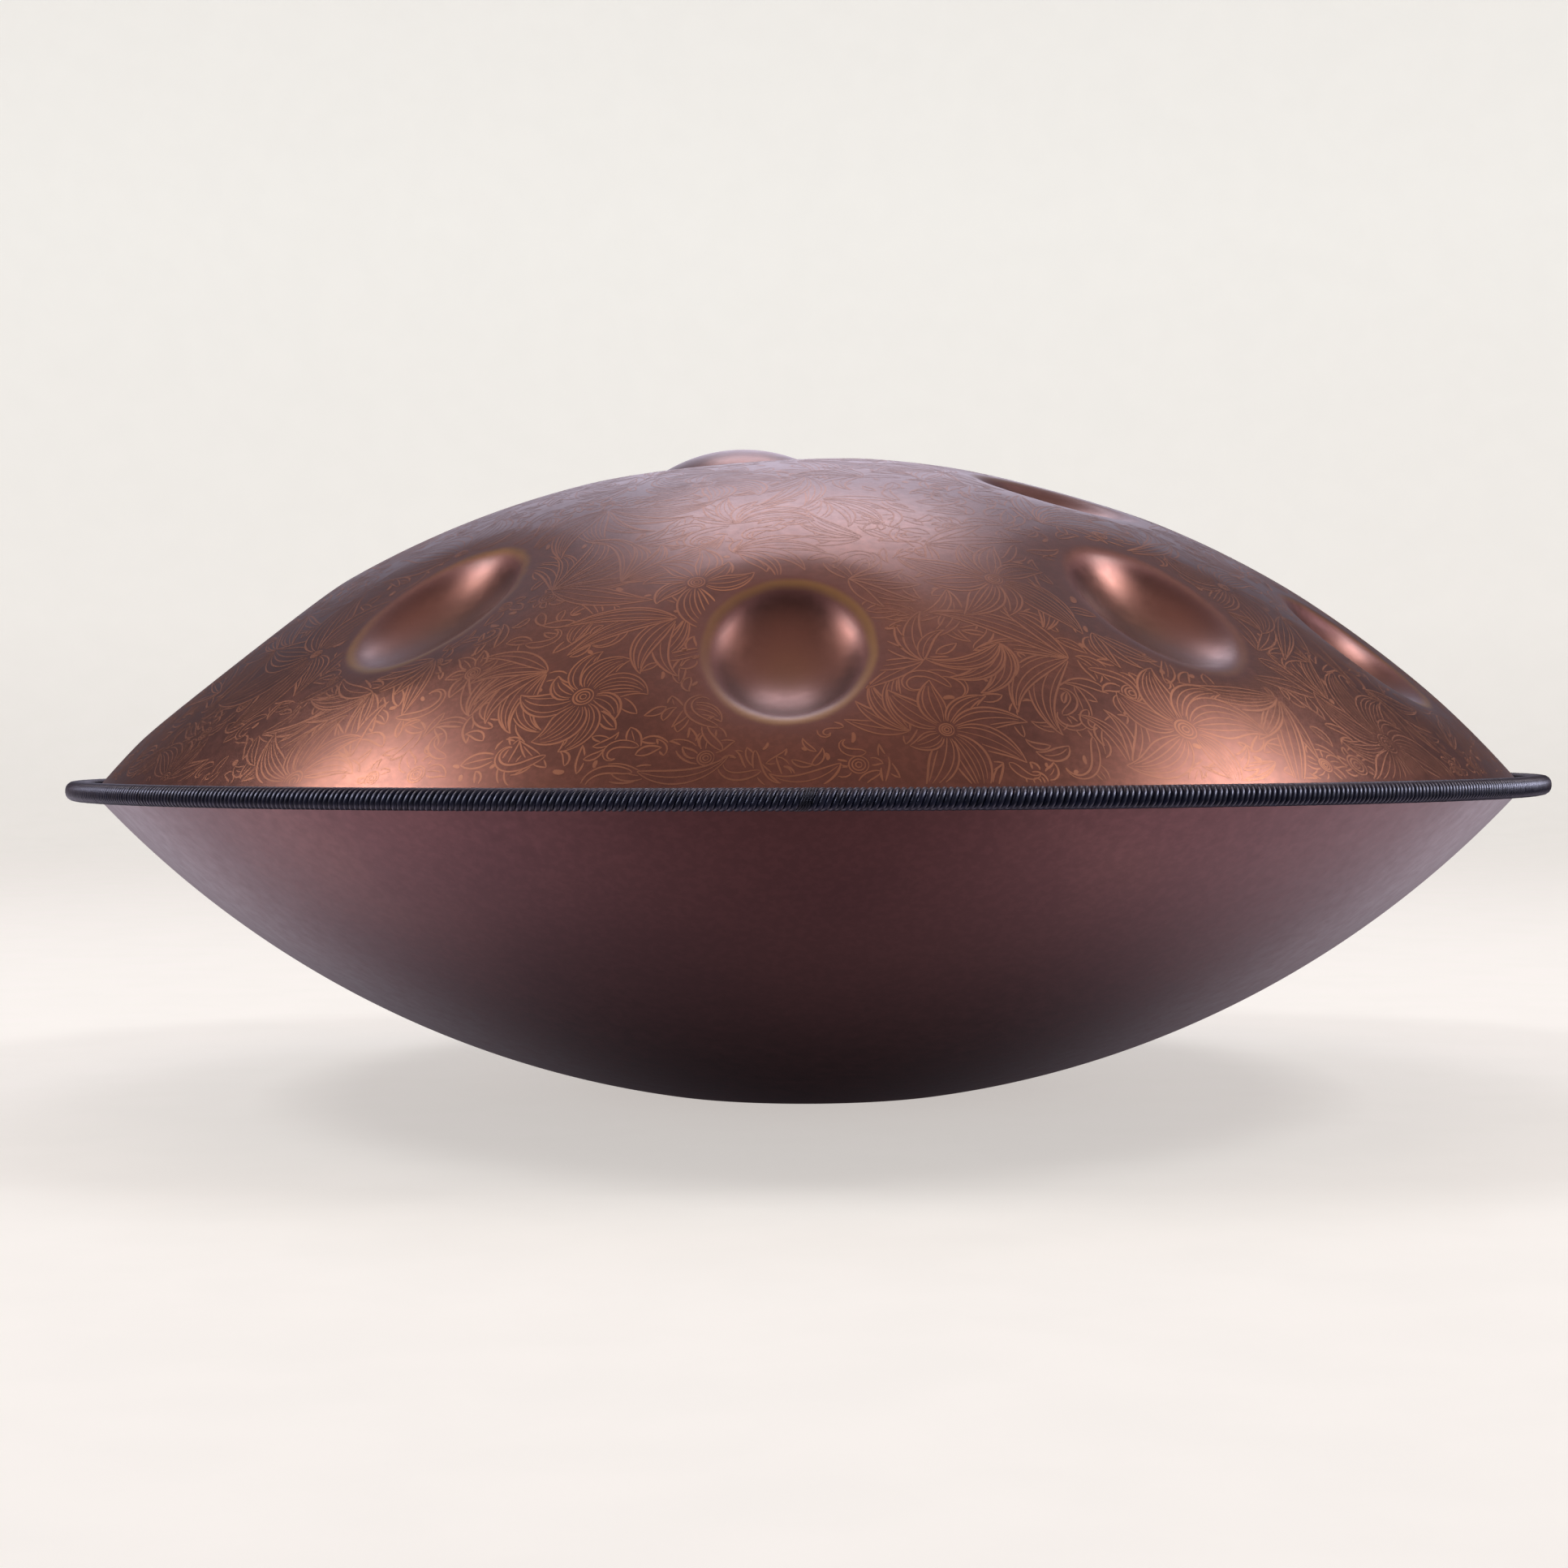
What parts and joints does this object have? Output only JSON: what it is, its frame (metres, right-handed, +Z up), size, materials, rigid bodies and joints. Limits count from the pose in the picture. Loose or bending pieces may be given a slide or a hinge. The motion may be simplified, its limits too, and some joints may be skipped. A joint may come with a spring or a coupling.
{
  "type": "handpan",
  "caption": "Handpan: a lens-shaped steel hand drum with a raised ding, dished tone fields, a laced rim and a sound port below.",
  "frame": {"origin": "centre of the instrument's footprint, on its vertical axis, in the plane of the land it rests on", "axes": "+Z up out of the playing surface, -Y towards the front where the ends of the edge cord meet, +X to the right seen from the front"},
  "size_m": [0.53, 0.53, 0.2332],
  "materials": {
    "upper_shell": "satin copper-brown oxide",
    "lower_shell": "satin plum-brown oxide",
    "flange_adhesive": "cured adhesive",
    "edge_tape": "cloth tape",
    "edge_cord": "satin synthetic cord",
    "cord_end_binding": "satin synthetic thread"
  },
  "bodies": {
    "root": {"upper_shell": "upper_shell", "lower_shell": "lower_shell", "flange_adhesive": "flange_adhesive", "edge_tape": "edge_tape", "edge_cord": "edge_cord", "cord_end_binding": "cord_end_binding"}
  },
  "joints": []
}
